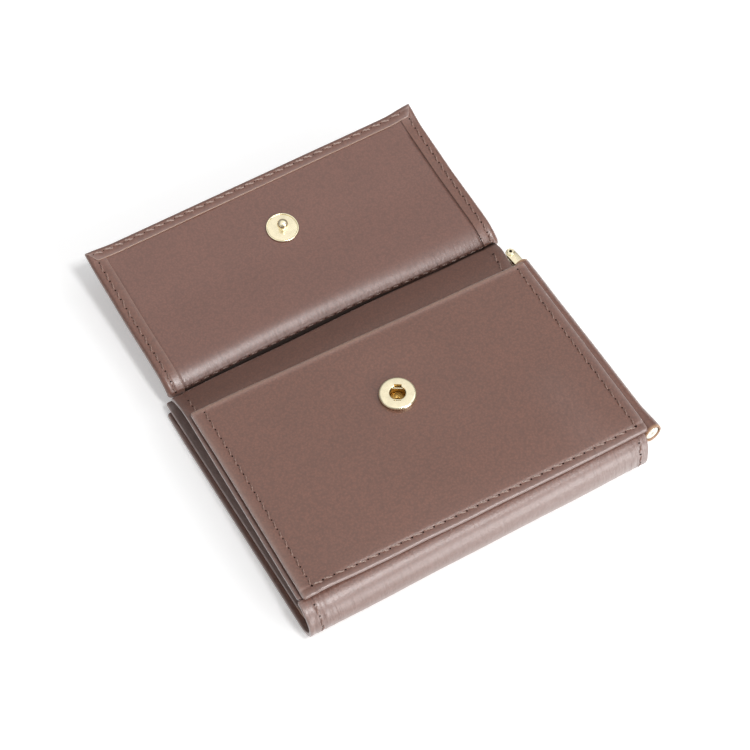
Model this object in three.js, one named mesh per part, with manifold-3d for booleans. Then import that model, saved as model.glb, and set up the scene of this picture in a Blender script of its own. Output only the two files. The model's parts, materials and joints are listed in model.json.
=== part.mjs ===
// Bifold money clip wallet with a snap-flap coin pocket. Millimetres, +Z up.
// It lies closed on its bottom half. X runs along the fold, which is at the front (-Y).
// The coin pocket is on top, and its flap lies open behind it (+Y).
// The origin is on the underside, below the middle of the coin pocket panel.

import * as THREE from "three";
import { mergeVertices } from "three/addons/utils/BufferGeometryUtils.js";
import Module from "manifold-3d";

const wasm = await Module();
wasm.setup();

// Leather stock
const LEATHER = 1.2;
const LINING = 0.9;
const CARD_LEATHER = 0.9;
const HEM = 0.7;
const HEM_WIDTH = 4.7;
const GLUE = 0.1;
const EDGE = 0.25;
const CORNER = 1.6;

// Coin pocket panel
const PANEL_WIDTH = 100;
const PANEL_DEPTH = 61.4;

// Covers: how far each reaches past the panel
const BOTTOM_SIDE = 2;
const BOTTOM_REAR = 11.8;
const TOP_SIDE = 1;
const TOP_REAR = 10.7;
const STRIP_DROP = 3.2;
const STRIP_START = 1.2;

// Linings and card pockets: how far each stays inside the cover that carries it
const LINING_INSET = 0.5;
const CARD_SIDE = 5;
const CARD_FRONT = 4;
const CARD_BACK_MOUTH = 5;
const CARD_STEP = 12;

// Fold
const NOTE_SPACE = 5.2;
const FOLD_SET_BACK = 1.1;
const LINING_SET_BACK = 2.2;

// Flap
const FLAP_SIDE = 1;
const FLAP_ROOT = 2.5;
const FLAP_REACH = 49.8;
const FLAP_TILT = 7;
const FLAP_LEATHER = 0.9;
const FLAP_BOARD = 0.4;
const FLAP_LINING = 0.6;
const FLAP_HEM = 0.45;
const FLAP_NOSE = 2.1;
const FLAP_FACE_OFFSET = 4.3;
const HINGE_BEHIND_PANEL = 11;
const CREASE_SAG = 1;
const CREASE_GAP = 0.3;

// Snap: its socket is clenched on at a chance angle in degrees
const SNAP_X = -0.5;
const SNAP_REACH = 31.85;
const SOCKET_TURN = -31;
const SOCKET_RADIUS = 5;
const SOCKET_HEIGHT = 1.4;
const SOCKET_HOLE = 2.1;
const SOCKET_GROOVE = 3.1;
const SOCKET_RIM = 0.7;
const SOCKET_LIP = 0.3;
const GROOVE_FLOOR = 0.25;
const GROOVE_ROOF = 0.9;
const SPRING_WIRE = 0.2;
const WINDOW_WIDTH = 2;
const WINDOW_DEPTH = 0.45;
const EYELET_RADIUS = 2.6;
const EYELET_WALL = 0.45;
const EYELET_FLANGE = 4.3;
const EYELET_SHEET = 0.4;
const EYELET_RISE = 0.2;
const STUD_RADIUS = 4.55;
const STUD_HEIGHT = 0.5;
const STUD_RIM = 0.25;
const STUD_DISH = 0.3;
const STUD_BALL = 1.45;
const STUD_NECK = 1.05;
const STUD_NECK_TOP = 0.62;
const STUD_SHANK = 0.8;
const STUD_PLATE = 3.2;
const SNAP_GAP = 0.15;
const SNAP_FIT = 0.15;

// Money clip: its near end splays out from the panel's edge by a small angle in degrees
const CLIP_SPLAY = 1.9;
const TUNNEL_LEATHER = 0.5;
const TUNNEL_PAST_PANEL = 1.5;
const TUNNEL_TAIL = 5.4;
const TUNNEL_TO_COVER = 0.15;
const RAIL_RADIUS = 1.75;
const RAIL_FIT = 0.2;
const RAIL_SET_IN = 0.5;
const RAIL_NOSE = 1.4;
const LUG_RADIUS = 1.4;
const LUG_THICKNESS = 2.2;
const PIN_BESIDE_PANEL = 0.2;
const PIN_PAST_TUNNEL = 3.3;
const PIN_RADIUS = 0.65;
const PIN_FIT = 0.1;
const PIN_HEAD = 1.15;
const PIN_HEAD_HEIGHT = 0.5;
const PIN_HEAD_CROWN = 0.85;
const PIN_DIMPLE = 0.45;
const ARM_LENGTH = 63;
const ARM_THICKNESS = 1.5;
const ARM_TIP = 1.8;
const ARM_EDGE = 0.35;
const ARM_TO_TUNNEL = 0.5;
const WASHER_THICKNESS = 0.3;
const RUNNING_GAP = 0.05;

// Facets
const ROUND = 48;
const SMALL_ROUND = 24;
const ARC = 12;
const CORNER_STEPS = 3;
const SLOPE_STEPS = 8;
const RIM_STEPS = 6;
const LIP_STEPS = 4;
const BALL_STEPS = 8;

// How far a cutting form runs past the piece it cuts
const CUT_PAST = 1;

// Heights of the layers, from the table up
const bottomLiningZ = LEATHER + GLUE;
const cardBackZ = bottomLiningZ + LINING + GLUE;
const cardFrontZ = cardBackZ + CARD_LEATHER + GLUE;
const topLiningZ = cardFrontZ + CARD_LEATHER + NOTE_SPACE;
const topCoverZ = topLiningZ + LINING + GLUE;
const topCoverTop = topCoverZ + LEATHER;
const panelZ = topCoverTop + GLUE + HEM;
const panelTop = panelZ + LEATHER;

// Outlines in plan
const panelSide = PANEL_WIDTH / 2;
const panelRear = PANEL_DEPTH / 2;
const panelFront = -panelRear;
const foldY = panelFront + FOLD_SET_BACK;
const liningFoldY = foldY + LINING_SET_BACK;
const bottomLeft = -panelSide - BOTTOM_SIDE;
const bottomRear = panelRear + BOTTOM_REAR;
const topLeft = -panelSide - TOP_SIDE;
const topRear = panelRear + TOP_REAR;
const stripY = panelRear - STRIP_START;

// Money clip stack: tunnel under the panel's edge, arm under the tunnel
const tunnelInner = RAIL_RADIUS + RAIL_FIT;
const tunnelOuter = tunnelInner + TUNNEL_LEATHER;
const pinX = panelSide + PIN_BESIDE_PANEL;
const tunnelZ = panelZ - GLUE - tunnelOuter;
const tunnelRear = panelRear + TUNNEL_PAST_PANEL;
const coverRight = pinX - tunnelOuter - TUNNEL_TO_COVER;
const pinY = tunnelRear + PIN_PAST_TUNNEL;
const lugBottom = tunnelZ - LUG_THICKNESS / 2;
const washerZ = lugBottom - RUNNING_GAP - WASHER_THICKNESS;
const armTop = tunnelZ - tunnelOuter - ARM_TO_TUNNEL;
const armBottom = armTop - ARM_THICKNESS;

// Flap hinge line: the closed flap lies on the snap, the open flap as far below the line
const hingeY = panelRear + HINGE_BEHIND_PANEL;
const closedFaceZ = panelTop + SOCKET_HEIGHT + SNAP_GAP + STUD_HEIGHT;
const hingeZ = closedFaceZ - FLAP_FACE_OFFSET;
const socketY = hingeY - SNAP_REACH;
const springOffset = STUD_BALL + SPRING_WIRE + SNAP_FIT;
const springHeight = (GROOVE_FLOOR + GROOVE_ROOF) / 2;

// Flap layers below the hinge line, from the lining's face down
const flapSide = panelSide + FLAP_SIDE;
const liningFace = -FLAP_FACE_OFFSET;
const boardTop = liningFace - FLAP_LINING - GLUE;
const flapLeatherTop = boardTop - FLAP_BOARD - GLUE;
const flapLeatherBottom = flapLeatherTop - FLAP_LEATHER;
const flapHemTop = liningFace + GLUE + FLAP_HEM;
const flapNoseY = FLAP_ROOT + FLAP_NOSE;
const flapNoseZ = liningFace - FLAP_NOSE;
const flapNoseInner = FLAP_NOSE - FLAP_LINING;
const flapSheetRoot = flapNoseY - Math.sqrt(flapNoseInner ** 2 - (flapLeatherTop - flapNoseZ) ** 2) + GLUE;

const leather = { color: "#6a4f46", roughness: 0.5, metalness: 0 };
const liningLeather = { color: "#654a41", roughness: 0.55, metalness: 0 };
const board = { color: "#8c7a66", roughness: 0.9, metalness: 0 };
const brass = { color: "#dcc07a", roughness: 0.22, metalness: 1 };

function piece(name, geometry, look) {
  const mesh = new THREE.Mesh(geometry, new THREE.MeshStandardMaterial(look));
  mesh.name = name;
  return mesh;
}

// Joins and cuts

function toSolid(geometry) {
  const bare = geometry.clone();
  bare.deleteAttribute("normal");
  bare.deleteAttribute("uv");
  const merged = mergeVertices(bare);
  const vertProperties = new Float32Array(merged.attributes.position.array);
  const triVerts = new Uint32Array(merged.index.array);
  return new wasm.Manifold(new wasm.Mesh({ numProp: 3, vertProperties, triVerts }));
}

function toGeometry(solid) {
  const mesh = solid.getMesh();
  const geometry = new THREE.BufferGeometry();
  geometry.setAttribute("position", new THREE.BufferAttribute(mesh.vertProperties, 3));
  geometry.setIndex(new THREE.BufferAttribute(mesh.triVerts, 1));
  geometry.computeVertexNormals();
  return geometry;
}

function cut(geometry, ...tools) {
  return toGeometry(tools.reduce((body, tool) => body.subtract(toSolid(tool)), toSolid(geometry)));
}

function join(geometry, ...others) {
  return toGeometry(others.reduce((body, other) => body.add(toSolid(other)), toSolid(geometry)));
}

// Basic forms

function box(x0, x1, y0, y1, z0, z1) {
  const geometry = new THREE.BoxGeometry(x1 - x0, y1 - y0, z1 - z0);
  return geometry.translate((x0 + x1) / 2, (y0 + y1) / 2, (z0 + z1) / 2);
}

function rectangle(x0, x1, y0, y1, radius) {
  const shape = new THREE.Shape();
  shape.absarc(x1 - radius, y1 - radius, radius, 0, Math.PI / 2);
  shape.absarc(x0 + radius, y1 - radius, radius, Math.PI / 2, Math.PI);
  shape.absarc(x0 + radius, y0 + radius, radius, Math.PI, Math.PI * 1.5);
  shape.absarc(x1 - radius, y0 + radius, radius, Math.PI * 1.5, Math.PI * 2);
  return shape;
}

// A flat piece with rounded rims, standing on z0.
function plate(shape, z0, thickness, edge = EDGE, curveSegments = CORNER_STEPS) {
  const geometry = new THREE.ExtrudeGeometry(shape, {
    depth: thickness - 2 * edge,
    bevelThickness: edge,
    bevelSize: edge,
    bevelOffset: -edge,
    bevelSegments: 2,
    curveSegments,
  });
  return geometry.translate(0, 0, z0 + edge);
}

// A shape drawn in Y and Z, carried from x0 to x1.
function alongX(shape, x0, x1) {
  const geometry = new THREE.ExtrudeGeometry(shape, {
    depth: x1 - x0,
    bevelEnabled: false,
    curveSegments: ARC,
  });
  const turn = new THREE.Matrix4().makeBasis(
    new THREE.Vector3(0, 1, 0),
    new THREE.Vector3(0, 0, 1),
    new THREE.Vector3(1, 0, 0),
  );
  return geometry.applyMatrix4(turn).translate(x0, 0, 0);
}

// A turned piece on the Z axis, from points of radius and height.
function turned(points, segments = ROUND) {
  const profile = points.map(([radius, height]) => new THREE.Vector2(radius, height));
  return new THREE.LatheGeometry(profile, segments).rotateX(Math.PI / 2);
}

// An upright cylinder from z0 to z1, for bosses and holes.
function post(x, y, z0, z1, radius, segments = SMALL_ROUND) {
  const geometry = new THREE.CylinderGeometry(radius, radius, z1 - z0, segments);
  return geometry.rotateX(Math.PI / 2).translate(x, y, (z0 + z1) / 2);
}

// Points of an arc in a turned profile, angles in degrees from the radius direction.
function arc(centreRadius, centreHeight, radius, from, to, steps) {
  return Array.from({ length: steps + 1 }, (_, i) => {
    const angle = THREE.MathUtils.degToRad(from + ((to - from) * i) / steps);
    return [centreRadius + radius * Math.cos(angle), centreHeight + radius * Math.sin(angle)];
  });
}

// Bottom half

function flatSheet(x0, x1, y0, y1, z0, thickness) {
  return plate(rectangle(x0, x1, y0, y1, CORNER), z0, thickness);
}

function bottomCover() {
  return flatSheet(bottomLeft, coverRight, foldY + GLUE, bottomRear, 0, LEATHER);
}

function bottomLining() {
  const left = bottomLeft + LINING_INSET;
  const right = coverRight - LINING_INSET;
  return flatSheet(left, right, liningFoldY + GLUE, bottomRear - LINING_INSET, bottomLiningZ, LINING);
}

function cardPocket(z, mouthY) {
  const left = bottomLeft + CARD_SIDE;
  const right = coverRight - CARD_SIDE;
  return flatSheet(left, right, liningFoldY + CARD_FRONT, mouthY, z, CARD_LEATHER);
}

// Half a tube round the front, open to the rear.
function foldedSheet(centreY, bottomZ, topZ, thickness, x0, x1) {
  const centreZ = (bottomZ + topZ) / 2;
  const radius = (topZ - bottomZ) / 2;
  const shape = new THREE.Shape();
  shape.absarc(centreY, centreZ, radius, Math.PI / 2, Math.PI * 1.5);
  shape.absarc(centreY, centreZ, radius - thickness, Math.PI * 1.5, Math.PI / 2, true);
  return alongX(shape, x0, x1);
}

function spineLeather() {
  return foldedSheet(foldY, 0, topCoverTop, LEATHER, topLeft, coverRight);
}

function spineLining() {
  const side = LINING_INSET * 2;
  return foldedSheet(liningFoldY, bottomLiningZ, topCoverZ - GLUE, LINING, topLeft + side, coverRight - side);
}

// Top half

// The rear strip of the top half droops towards the crease.
function stripDrop(y) {
  const share = Math.max(0, (y - stripY) / (topRear - stripY));
  return STRIP_DROP * share * share;
}

function droopingSheet(y0, y1, z0, thickness) {
  const step = (y1 - stripY) / SLOPE_STEPS;
  const slope = Array.from({ length: SLOPE_STEPS + 1 }, (_, i) => stripY + step * i);
  const under = [y0, ...slope].map((y) => new THREE.Vector2(y, z0 - stripDrop(y)));
  const over = under.map((p) => new THREE.Vector2(p.x, p.y + thickness)).reverse();
  return new THREE.Shape([...under, ...over]);
}

function topCover() {
  return alongX(droopingSheet(foldY + GLUE, topRear, topCoverZ, LEATHER), topLeft, coverRight);
}

function topLining() {
  const sheet = droopingSheet(liningFoldY + GLUE, topRear - LINING_INSET, topLiningZ, LINING);
  return alongX(sheet, topLeft + LINING_INSET, coverRight);
}

// The panel stands on hems along its left and front edges, and on the tunnel's tail at the right.
function coinPocketPanel() {
  const outline = rectangle(-panelSide, panelSide, panelFront, panelRear, CORNER);
  const sheet = plate(outline, panelZ, LEATHER);
  const overlap = LEATHER / 2;
  const hemRight = coverRight - TUNNEL_TAIL;
  const hem = rectangle(-panelSide + EDGE, hemRight, panelFront + EDGE, panelRear - EDGE, CORNER);
  const hemBlock = plate(hem, panelZ - HEM, HEM + overlap, EDGE / 2);
  const inside = box(
    -panelSide + HEM_WIDTH,
    panelSide,
    panelFront + HEM_WIDTH,
    panelRear + CORNER,
    panelZ - 2 * HEM,
    panelZ,
  );
  const hole = post(SNAP_X, socketY, panelZ - CUT_PAST, panelTop + CUT_PAST, EYELET_RADIUS + SNAP_FIT, ROUND);
  return cut(join(sheet, cut(hemBlock, inside)), hole);
}

// Leather from the top cover's rear edge down into the crease and up to the flap's root.
function flapHingeLeather() {
  const tilt = THREE.MathUtils.degToRad(FLAP_TILT);
  const root = FLAP_ROOT - CREASE_GAP;
  const startY = topRear + GLUE;
  const startZ = topCoverZ - STRIP_DROP;
  const endY = hingeY + root * Math.cos(tilt) - flapLeatherBottom * Math.sin(tilt);
  const endZ = hingeZ + root * Math.sin(tilt) + flapLeatherBottom * Math.cos(tilt);
  const creaseY = (startY + endY) / 2;
  const creaseZ = endZ - CREASE_SAG;
  const shape = new THREE.Shape();
  shape.moveTo(startY, startZ);
  shape.quadraticCurveTo(creaseY, creaseZ, endY, endZ);
  shape.lineTo(endY, endZ + LEATHER);
  shape.quadraticCurveTo(creaseY, creaseZ + LEATHER, startY, startZ + LEATHER);
  return alongX(shape, topLeft + LINING_INSET, coverRight - LINING_INSET);
}

// Snap socket: a ring with a rolled rim, a lip round its hole and a groove for the spring wires.
// Two windows in the lip, front and rear, show the wires.
function snapSocket() {
  const eyeletMouth = EYELET_RADIUS + SNAP_FIT;
  const ring = turned([
    [eyeletMouth, RUNNING_GAP],
    [SOCKET_RADIUS - SOCKET_RIM / 2, RUNNING_GAP],
    ...arc(SOCKET_RADIUS - SOCKET_RIM, SOCKET_HEIGHT - SOCKET_RIM, SOCKET_RIM, 0, 90, RIM_STEPS),
    ...arc(SOCKET_HOLE + SOCKET_LIP, SOCKET_HEIGHT - SOCKET_LIP, SOCKET_LIP, 90, 180, LIP_STEPS),
    [SOCKET_HOLE, GROOVE_ROOF],
    [SOCKET_GROOVE, GROOVE_ROOF],
    [SOCKET_GROOVE, GROOVE_FLOOR],
    [eyeletMouth, GROOVE_FLOOR],
    [eyeletMouth, RUNNING_GAP],
  ]);
  const side = WINDOW_WIDTH / 2;
  const reach = SOCKET_HOLE + WINDOW_DEPTH;
  const windows = box(-side, side, -reach, reach, springHeight, SOCKET_HEIGHT + CUT_PAST);
  return cut(ring, windows);
}

// A spring wire lies across the groove, just clear of the stud's ball.
function snapSpring() {
  const length = 2 * Math.sqrt(SOCKET_GROOVE ** 2 - (springOffset + SPRING_WIRE) ** 2) - SNAP_FIT;
  return new THREE.CylinderGeometry(SPRING_WIRE, SPRING_WIRE, length, ARC).rotateZ(Math.PI / 2);
}

// A tube through the panel with its flange clenched below it.
function snapEyelet() {
  const inner = EYELET_RADIUS - EYELET_WALL;
  const top = LEATHER + EYELET_RISE;
  const flangeTop = -RUNNING_GAP;
  const flangeBottom = flangeTop - EYELET_SHEET;
  return turned([
    [inner, flangeBottom],
    [EYELET_FLANGE, flangeBottom],
    [EYELET_FLANGE, flangeTop],
    [EYELET_RADIUS, flangeTop],
    [EYELET_RADIUS, top],
    [inner, top],
    [inner, flangeBottom],
  ]);
}

// Money clip

// Leather wrapped round the rail, with its tail sewn in under the panel's right edge, drawn round the pivot.
function clipTunnel() {
  const ring = new THREE.Shape();
  ring.absarc(0, 0, tunnelOuter, 0, Math.PI * 2);
  ring.holes.push(new THREE.Path().absarc(0, 0, tunnelInner, 0, Math.PI * 2));
  const tube = new THREE.ExtrudeGeometry(ring, {
    depth: tunnelRear - panelFront,
    bevelEnabled: false,
    curveSegments: SMALL_ROUND,
  });
  tube.rotateX(Math.PI / 2).translate(0, tunnelRear - pinY, tunnelZ);
  const tail = box(
    coverRight - TUNNEL_TAIL + GLUE - pinX,
    0,
    panelFront + EDGE - pinY,
    panelRear - EDGE - pinY,
    topCoverTop + GLUE,
    panelZ - GLUE,
  );
  return join(tube, tail);
}

// A bar that narrows to a round end at the origin and widens to a tip along -Y.
function barOutline(rootRadius, tipRadius, length) {
  const shape = new THREE.Shape();
  shape.absarc(0, 0, rootRadius, 0, Math.PI);
  shape.absarc(0, -length, tipRadius, Math.PI, Math.PI * 2);
  return shape;
}

// Round bar in the tunnel with a flat lug for the pivot, drawn round the pivot.
function clipRail() {
  const near = panelFront + RAIL_SET_IN - pinY;
  const far = tunnelRear - RAIL_SET_IN - pinY;
  const profile = [
    [0, near],
    ...arc(RAIL_RADIUS - RAIL_NOSE, near + RAIL_NOSE, RAIL_NOSE, -90, 0, BALL_STEPS),
    [RAIL_RADIUS, far],
    [0, far],
  ].map(([radius, y]) => new THREE.Vector2(radius, y));
  const rod = new THREE.LatheGeometry(profile, SMALL_ROUND).translate(0, 0, tunnelZ);
  const outline = barOutline(LUG_RADIUS, LUG_RADIUS, PIN_PAST_TUNNEL);
  const lug = plate(outline, lugBottom, LUG_THICKNESS, EDGE, ARC);
  const holeTop = lugBottom + LUG_THICKNESS + CUT_PAST;
  const hole = post(0, 0, lugBottom - CUT_PAST, holeTop, PIN_RADIUS + PIN_FIT);
  return cut(join(rod, lug), hole);
}

// Domed rivet with a hollow upper head.
function clipRivet() {
  const bottom = armBottom - RUNNING_GAP;
  const top = lugBottom + LUG_THICKNESS + RUNNING_GAP;
  return turned(
    [
      [0, bottom - PIN_HEAD_HEIGHT],
      [PIN_HEAD_CROWN, bottom - PIN_HEAD_HEIGHT],
      [PIN_HEAD, bottom - PIN_HEAD_HEIGHT / 2],
      [PIN_HEAD, bottom],
      [PIN_RADIUS, bottom],
      [PIN_RADIUS, top],
      [PIN_HEAD, top],
      [PIN_HEAD, top + PIN_HEAD_HEIGHT / 2],
      [PIN_HEAD_CROWN, top + PIN_HEAD_HEIGHT],
      [PIN_DIMPLE, top + PIN_HEAD_HEIGHT],
      [PIN_DIMPLE, top],
      [0, top],
    ],
    SMALL_ROUND,
  );
}

function clipWasher() {
  const inner = PIN_RADIUS + PIN_FIT;
  const top = washerZ + WASHER_THICKNESS;
  return turned(
    [
      [inner, washerZ],
      [LUG_RADIUS, washerZ],
      [LUG_RADIUS, top],
      [inner, top],
      [inner, washerZ],
    ],
    SMALL_ROUND,
  );
}

// Flat arm with a knuckle up to the washer, drawn round the pivot.
function clipArm() {
  const outline = barOutline(LUG_RADIUS, ARM_TIP, ARM_LENGTH);
  const bar = plate(outline, armBottom, ARM_THICKNESS, ARM_EDGE, ARC);
  const knuckle = post(0, 0, armBottom + ARM_THICKNESS / 2, washerZ - RUNNING_GAP, LUG_RADIUS);
  const hole = post(0, 0, armBottom - CUT_PAST, washerZ + CUT_PAST, PIN_RADIUS + PIN_FIT);
  return cut(join(bar, knuckle), hole);
}

// Flap, drawn round its hinge line: Y runs away from the hinge, Z up out of the lining's face

// Outer leather: a sheet whose hem is turned up and over the lining on three sides.
function flapLeather() {
  const outline = rectangle(-flapSide, flapSide, flapSheetRoot, FLAP_REACH, CORNER);
  const block = plate(outline, flapLeatherBottom, flapHemTop - flapLeatherBottom);
  const side = flapSide - FLAP_LEATHER;
  const root = FLAP_ROOT - CORNER;
  const cavity = box(-side, side, root, FLAP_REACH - FLAP_LEATHER, flapLeatherTop, liningFace + GLUE);
  const windowSide = flapSide - HEM_WIDTH;
  const windowEnd = FLAP_REACH - HEM_WIDTH;
  const window = box(-windowSide, windowSide, root, windowEnd, liningFace, flapHemTop + CUT_PAST);
  return cut(block, cavity, window);
}

function flapBoard() {
  const side = flapSide - HEM_WIDTH;
  const root = flapNoseY + GLUE;
  const sheet = plate(
    rectangle(-side, side, root, FLAP_REACH - HEM_WIDTH, CORNER),
    boardTop - FLAP_BOARD,
    FLAP_BOARD,
    EDGE / 2,
  );
  const holeBottom = boardTop - FLAP_BOARD - CUT_PAST;
  const hole = post(SNAP_X, SNAP_REACH, holeBottom, boardTop + CUT_PAST, STUD_PLATE + SNAP_FIT, ROUND);
  return cut(sheet, hole);
}

// Inner panel: flat, then rounded down over the flap's root.
function flapLining() {
  const end = FLAP_REACH - FLAP_LEATHER - GLUE;
  const shape = new THREE.Shape();
  shape.moveTo(end, liningFace - FLAP_LINING);
  shape.lineTo(end, liningFace);
  shape.absarc(flapNoseY, flapNoseZ, FLAP_NOSE, Math.PI / 2, Math.PI);
  shape.absarc(flapNoseY, flapNoseZ, flapNoseInner, Math.PI, Math.PI / 2, true);
  const side = flapSide - FLAP_LEATHER - GLUE;
  const holeBottom = liningFace - FLAP_LINING - CUT_PAST;
  const hole = post(SNAP_X, SNAP_REACH, holeBottom, liningFace + CUT_PAST, STUD_SHANK + SNAP_FIT);
  return cut(alongX(shape, -side, side), hole);
}

// Snap stud: a dished flange with a raised rim, a neck, a ball and a shank through the lining.
function snapStud() {
  const ballHeight = STUD_NECK_TOP + Math.sqrt(STUD_BALL ** 2 - STUD_NECK ** 2);
  const neckAngle = -THREE.MathUtils.radToDeg(Math.acos(STUD_NECK / STUD_BALL));
  return turned([
    [0, -FLAP_LINING - GLUE],
    [STUD_SHANK, -FLAP_LINING - GLUE],
    [STUD_SHANK, RUNNING_GAP],
    [STUD_RADIUS - STUD_RIM, RUNNING_GAP],
    ...arc(STUD_RADIUS - STUD_RIM, STUD_HEIGHT - STUD_RIM, STUD_RIM, 0, 180, RIM_STEPS),
    [STUD_RADIUS - 3 * STUD_RIM, STUD_DISH],
    [2 * STUD_NECK, STUD_DISH],
    [STUD_NECK, STUD_DISH + STUD_RIM],
    ...arc(0, ballHeight, STUD_BALL, neckAngle, 90, BALL_STEPS),
  ]);
}

function snapStudBack() {
  const top = boardTop - RUNNING_GAP;
  const bottom = boardTop - FLAP_BOARD;
  return turned([
    [0, bottom],
    [STUD_PLATE, bottom],
    [STUD_PLATE, top],
    [0, top],
  ]);
}

// Assembly

const wallet = new THREE.Group();

const bottomHalf = new THREE.Group();
bottomHalf.add(
  piece("bottom_cover", bottomCover(), leather),
  piece("bottom_lining", bottomLining(), liningLeather),
  piece("card_pocket_back", cardPocket(cardBackZ, bottomRear - CARD_BACK_MOUTH), liningLeather),
  piece("card_pocket_front", cardPocket(cardFrontZ, bottomRear - CARD_BACK_MOUTH - CARD_STEP), liningLeather),
  piece("spine_leather", spineLeather(), leather),
  piece("spine_lining", spineLining(), liningLeather),
);

const topHalf = new THREE.Group();
topHalf.add(
  piece("top_cover", topCover(), leather),
  piece("top_lining", topLining(), liningLeather),
  piece("coin_pocket_panel", coinPocketPanel(), leather),
  piece("flap_hinge_leather", flapHingeLeather(), leather),
);

const socket = new THREE.Group();
socket.position.set(SNAP_X, socketY, panelTop);
socket.rotation.z = THREE.MathUtils.degToRad(SOCKET_TURN);
socket.add(piece("snap_socket", snapSocket(), brass));
for (const [name, side] of [["snap_spring_front", -1], ["snap_spring_rear", 1]]) {
  const spring = piece(name, snapSpring(), brass);
  spring.position.set(0, side * springOffset, springHeight);
  socket.add(spring);
}
const eyelet = piece("snap_eyelet", snapEyelet(), brass);
eyelet.position.z = -LEATHER;
socket.add(eyelet);

const clip = new THREE.Group();
clip.position.set(pinX, pinY, 0);
clip.rotation.z = THREE.MathUtils.degToRad(CLIP_SPLAY);
clip.add(
  piece("clip_tunnel", clipTunnel(), leather),
  piece("clip_rail", clipRail(), brass),
  piece("clip_rivet", clipRivet(), brass),
  piece("clip_washer", clipWasher(), brass),
  piece("clip_arm", clipArm(), brass),
);

const flap = new THREE.Group();
flap.position.set(0, hingeY, hingeZ);
flap.rotation.x = THREE.MathUtils.degToRad(FLAP_TILT);
const stud = piece("snap_stud", snapStud(), brass);
stud.position.set(SNAP_X, SNAP_REACH, liningFace);
const studBack = piece("snap_stud_back", snapStudBack(), brass);
studBack.position.set(SNAP_X, SNAP_REACH, 0);
flap.add(
  piece("flap_leather", flapLeather(), leather),
  piece("flap_board", flapBoard(), board),
  piece("flap_lining", flapLining(), liningLeather),
  stud,
  studBack,
);

topHalf.add(socket, clip, flap);
wallet.add(bottomHalf, topHalf);

export default wallet;
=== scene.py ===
import json
import math

import bmesh
import bpy
import numpy as np
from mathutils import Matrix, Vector


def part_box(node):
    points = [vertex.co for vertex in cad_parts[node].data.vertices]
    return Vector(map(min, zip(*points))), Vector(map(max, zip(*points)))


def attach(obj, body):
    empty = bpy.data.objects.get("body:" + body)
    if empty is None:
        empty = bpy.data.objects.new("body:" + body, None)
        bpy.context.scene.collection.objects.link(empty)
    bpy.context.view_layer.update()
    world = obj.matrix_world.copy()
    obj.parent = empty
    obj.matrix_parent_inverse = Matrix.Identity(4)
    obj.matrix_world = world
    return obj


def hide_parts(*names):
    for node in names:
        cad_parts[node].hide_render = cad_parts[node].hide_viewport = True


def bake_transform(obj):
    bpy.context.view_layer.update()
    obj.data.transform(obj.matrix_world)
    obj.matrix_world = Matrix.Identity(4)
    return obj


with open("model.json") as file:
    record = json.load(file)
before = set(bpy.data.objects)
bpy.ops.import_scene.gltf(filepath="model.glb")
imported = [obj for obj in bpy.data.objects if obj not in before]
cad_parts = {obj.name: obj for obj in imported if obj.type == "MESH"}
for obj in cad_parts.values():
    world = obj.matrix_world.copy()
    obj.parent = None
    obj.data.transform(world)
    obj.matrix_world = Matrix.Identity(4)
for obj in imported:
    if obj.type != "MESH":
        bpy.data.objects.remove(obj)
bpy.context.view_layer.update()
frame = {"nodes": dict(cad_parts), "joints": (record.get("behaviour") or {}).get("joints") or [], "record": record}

# Lengths are in millimetres until a mesh is made
MM = 0.001
TURN = 2 * math.pi

# The open flap, measured away from its hinge line and up out of its face
FLAP_TILT = math.radians(7)
FLAP_YAW = math.radians(1.33)
FLAP_ROOT = 2.2
FLAP_EDGE = 51
FLAP_FAR = 49.8
FLAP_FACE = -4.3
FLAP_BACK = -6.4
FLAP_LEATHER = 0.9
FACE_THICKNESS = 0.6
FACE_SIDE = FLAP_EDGE - FLAP_LEATHER - 0.1

# Hems
HEM_WIDTH = 4.7
FAR_HEM_WIDTH = 3.7
HEM_TOP = 0.4
HEM_BOTTOM = FLAP_BACK - FLAP_FACE
HEM_THICKNESS = 0.45
HEM_TUCK = 2.1
TUCK_LAP = 0.05
HEM_EDGE = FLAP_EDGE - HEM_WIDTH - 0.15

# Other shapes that are only in the looks, and how far pale rims reach, partly wear and partly a painted highlight
CLIP_SPLAY = math.radians(1.9)
CLIP_COS, CLIP_SIN = math.cos(CLIP_SPLAY), math.sin(CLIP_SPLAY)
STRIP_DROP = 3.2
DROP_LEAD = 1.2
STRIP_WIDER = 1.2
CREASE_SAG = 2.4
CORNER = 1.6
PANEL_CORNER = 0.9
SNAP_HOLE = 2.7
RIM = 0.3
# Pale rims: partly rubbed wear, partly a painted highlight on the rounded edges
RUB_AND_GLINT_REACH = 0.45
NONE = (0, 0, 0, 0)

# Seams: how far each lies from the edge beside it, and the trench that it pulls into the leather
HEM_SEAM_AT = HEM_WIDTH - 2.2
FAR_SEAM_AT = FAR_HEM_WIDTH - 1.6
COVER_SEAM = 3
CARD_SEAM = 2
CARD_CREASE = 2.2
TRENCH = 0.45
SEAM_DEPTH = 0.16
STRIP_SEAM_DEPTH = 0.15
CARD_SEAM_DEPTH = 0.14
HEM_SEAM_DEPTH = 0.12

# Trenches go on above a sheet's face, where thread lies, to this share of its thickness
PAST_FACE = 1.3
HEM_PAST_FACE = 1.5

# Stitches: start and span are shares of the pitch, the plies' radius of the thread's width
PITCH = 3.13
STITCH_START, START_JITTER = 0.1, 0.03
STITCH_SPAN, SPAN_JITTER = 0.8, 0.02
SLANT_JITTER = 0.05
STITCH_DIVE = 0.45
PLIES = 2
PLY_TWIST = 1.3 * TURN
PLY_RADIUS = 0.62
PLY_RINGS, PLY_SIDES = 9, 6
HOLE_SIDES = 10
HOLE_SQUASH = 0.6
HOLE_RISE = 0.03

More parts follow.
